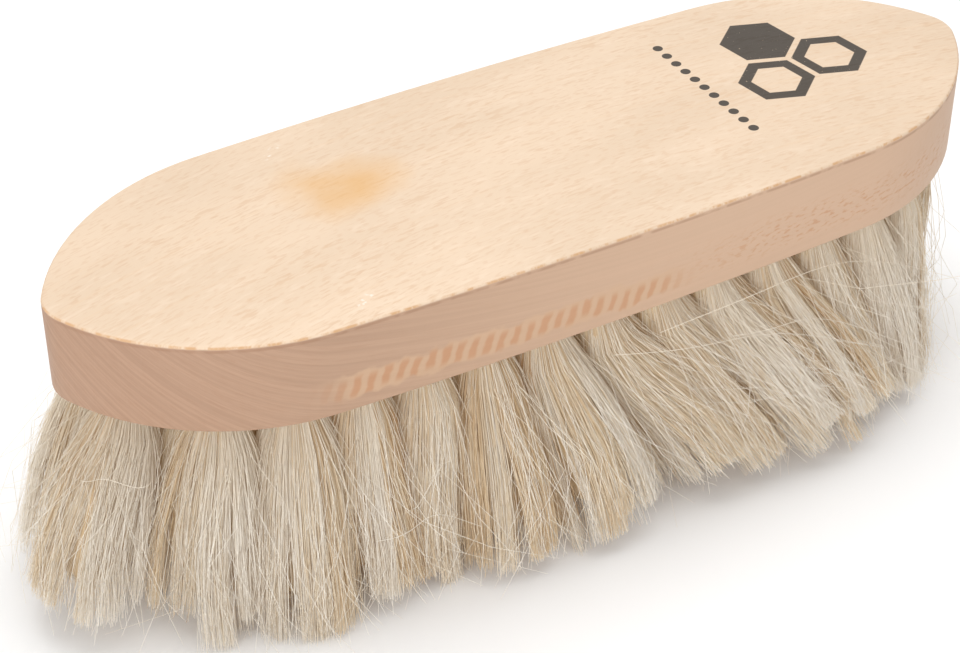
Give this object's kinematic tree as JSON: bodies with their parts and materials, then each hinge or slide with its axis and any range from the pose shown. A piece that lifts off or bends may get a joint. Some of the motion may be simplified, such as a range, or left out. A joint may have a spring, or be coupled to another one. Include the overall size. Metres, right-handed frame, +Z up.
{
  "type": "soft hair hand brush",
  "caption": "Boat-shaped beech hand brush without a handle, with cross rows of long soft pale hair tufts held in blind holes by wire staples.",
  "frame": {"origin": "middle of the level plane of the hair tips, below the middle of the block", "axes": "+X along the brush, +Y across it, +Z up from the hair tips through the wooden block"},
  "size_m": [0.2178, 0.0752, 0.068],
  "materials": {
    "beech": "sanded, unvarnished pale beech",
    "hair": "natural cream hair with tan streaks, soft sheen",
    "staple_wire": "drawn bright wire"
  },
  "bodies": {
    "root": {"back_block": "beech", "tuft_row_01": "hair", "tuft_row_02": "hair", "tuft_row_03": "hair", "tuft_row_04": "hair", "tuft_row_05": "hair", "tuft_row_06": "hair", "tuft_row_07": "hair", "tuft_row_08": "hair", "tuft_row_09": "hair", "tuft_row_10": "hair", "tuft_row_11": "hair", "tuft_row_12": "hair", "tuft_row_13": "hair", "tuft_row_14": "hair", "tuft_row_15": "hair", "staple_row_01": "staple_wire", "staple_row_02": "staple_wire", "staple_row_03": "staple_wire", "staple_row_04": "staple_wire", "staple_row_05": "staple_wire", "staple_row_06": "staple_wire", "staple_row_07": "staple_wire", "staple_row_08": "staple_wire", "staple_row_09": "staple_wire", "staple_row_10": "staple_wire", "staple_row_11": "staple_wire", "staple_row_12": "staple_wire", "staple_row_13": "staple_wire", "staple_row_14": "staple_wire", "staple_row_15": "staple_wire"}
  },
  "joints": []
}
